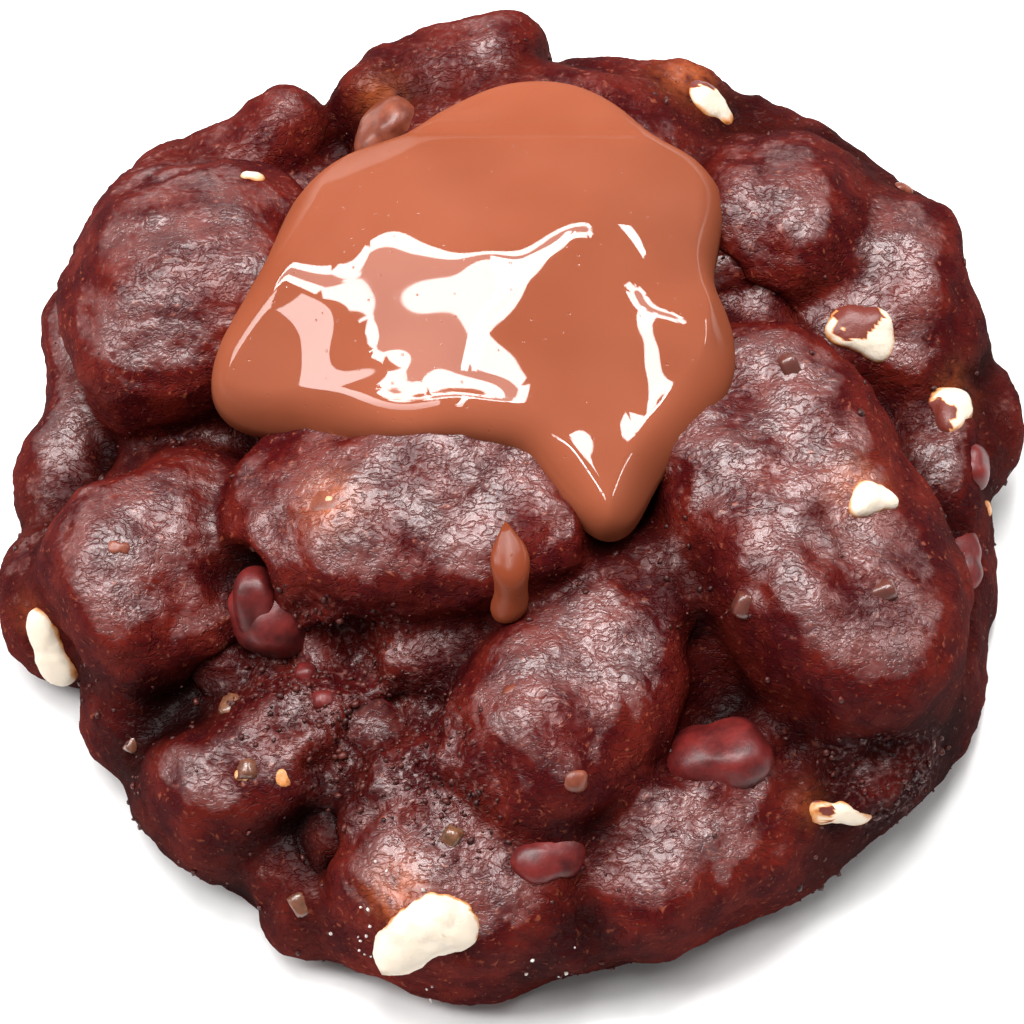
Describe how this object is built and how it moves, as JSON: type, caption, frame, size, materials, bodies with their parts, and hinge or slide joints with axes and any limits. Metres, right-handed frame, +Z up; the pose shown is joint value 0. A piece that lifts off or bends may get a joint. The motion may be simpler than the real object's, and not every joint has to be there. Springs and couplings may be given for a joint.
{
  "type": "triple chocolate cookie",
  "caption": "Thick, lumpy dark chocolate cookie with a glossy pool of milk chocolate ganache on its crown and white, milk and dark chocolate chips in the dough.",
  "frame": {"origin": "middle of the flat underside of the dough, in the plane the cookie rests on", "axes": "+Z up out of the crown, +Y towards the back rim behind the ganache, +X to the right as the cookie is seen from the front"},
  "size_m": [0.1001, 0.1015, 0.0357],
  "materials": {
    "dough": "baked dark chocolate dough, leathery and slightly greasy",
    "ganache": "glossy milk chocolate ganache",
    "white_chocolate": "chalky white chocolate with browned edges",
    "milk_chocolate": "smooth milk chocolate",
    "dark_chocolate": "smooth dark chocolate"
  },
  "bodies": {
    "root": {"dough": "dough", "ganache": "ganache", "ganache_drip": "ganache", "white_chip_back": "white_chocolate", "white_chip_shoulder": "white_chocolate", "white_chip_right": "white_chocolate", "white_chip_long_lump": "white_chocolate", "white_chip_left": "white_chocolate", "white_chip_front": "white_chocolate", "white_chip_sliver": "white_chocolate", "dark_chip_middle": "dark_chocolate", "dark_chip_front": "dark_chocolate", "dark_chip_rim": "dark_chocolate", "dark_chip_side": "dark_chocolate", "dark_chip_low": "dark_chocolate", "milk_chip_back": "milk_chocolate"}
  },
  "joints": []
}
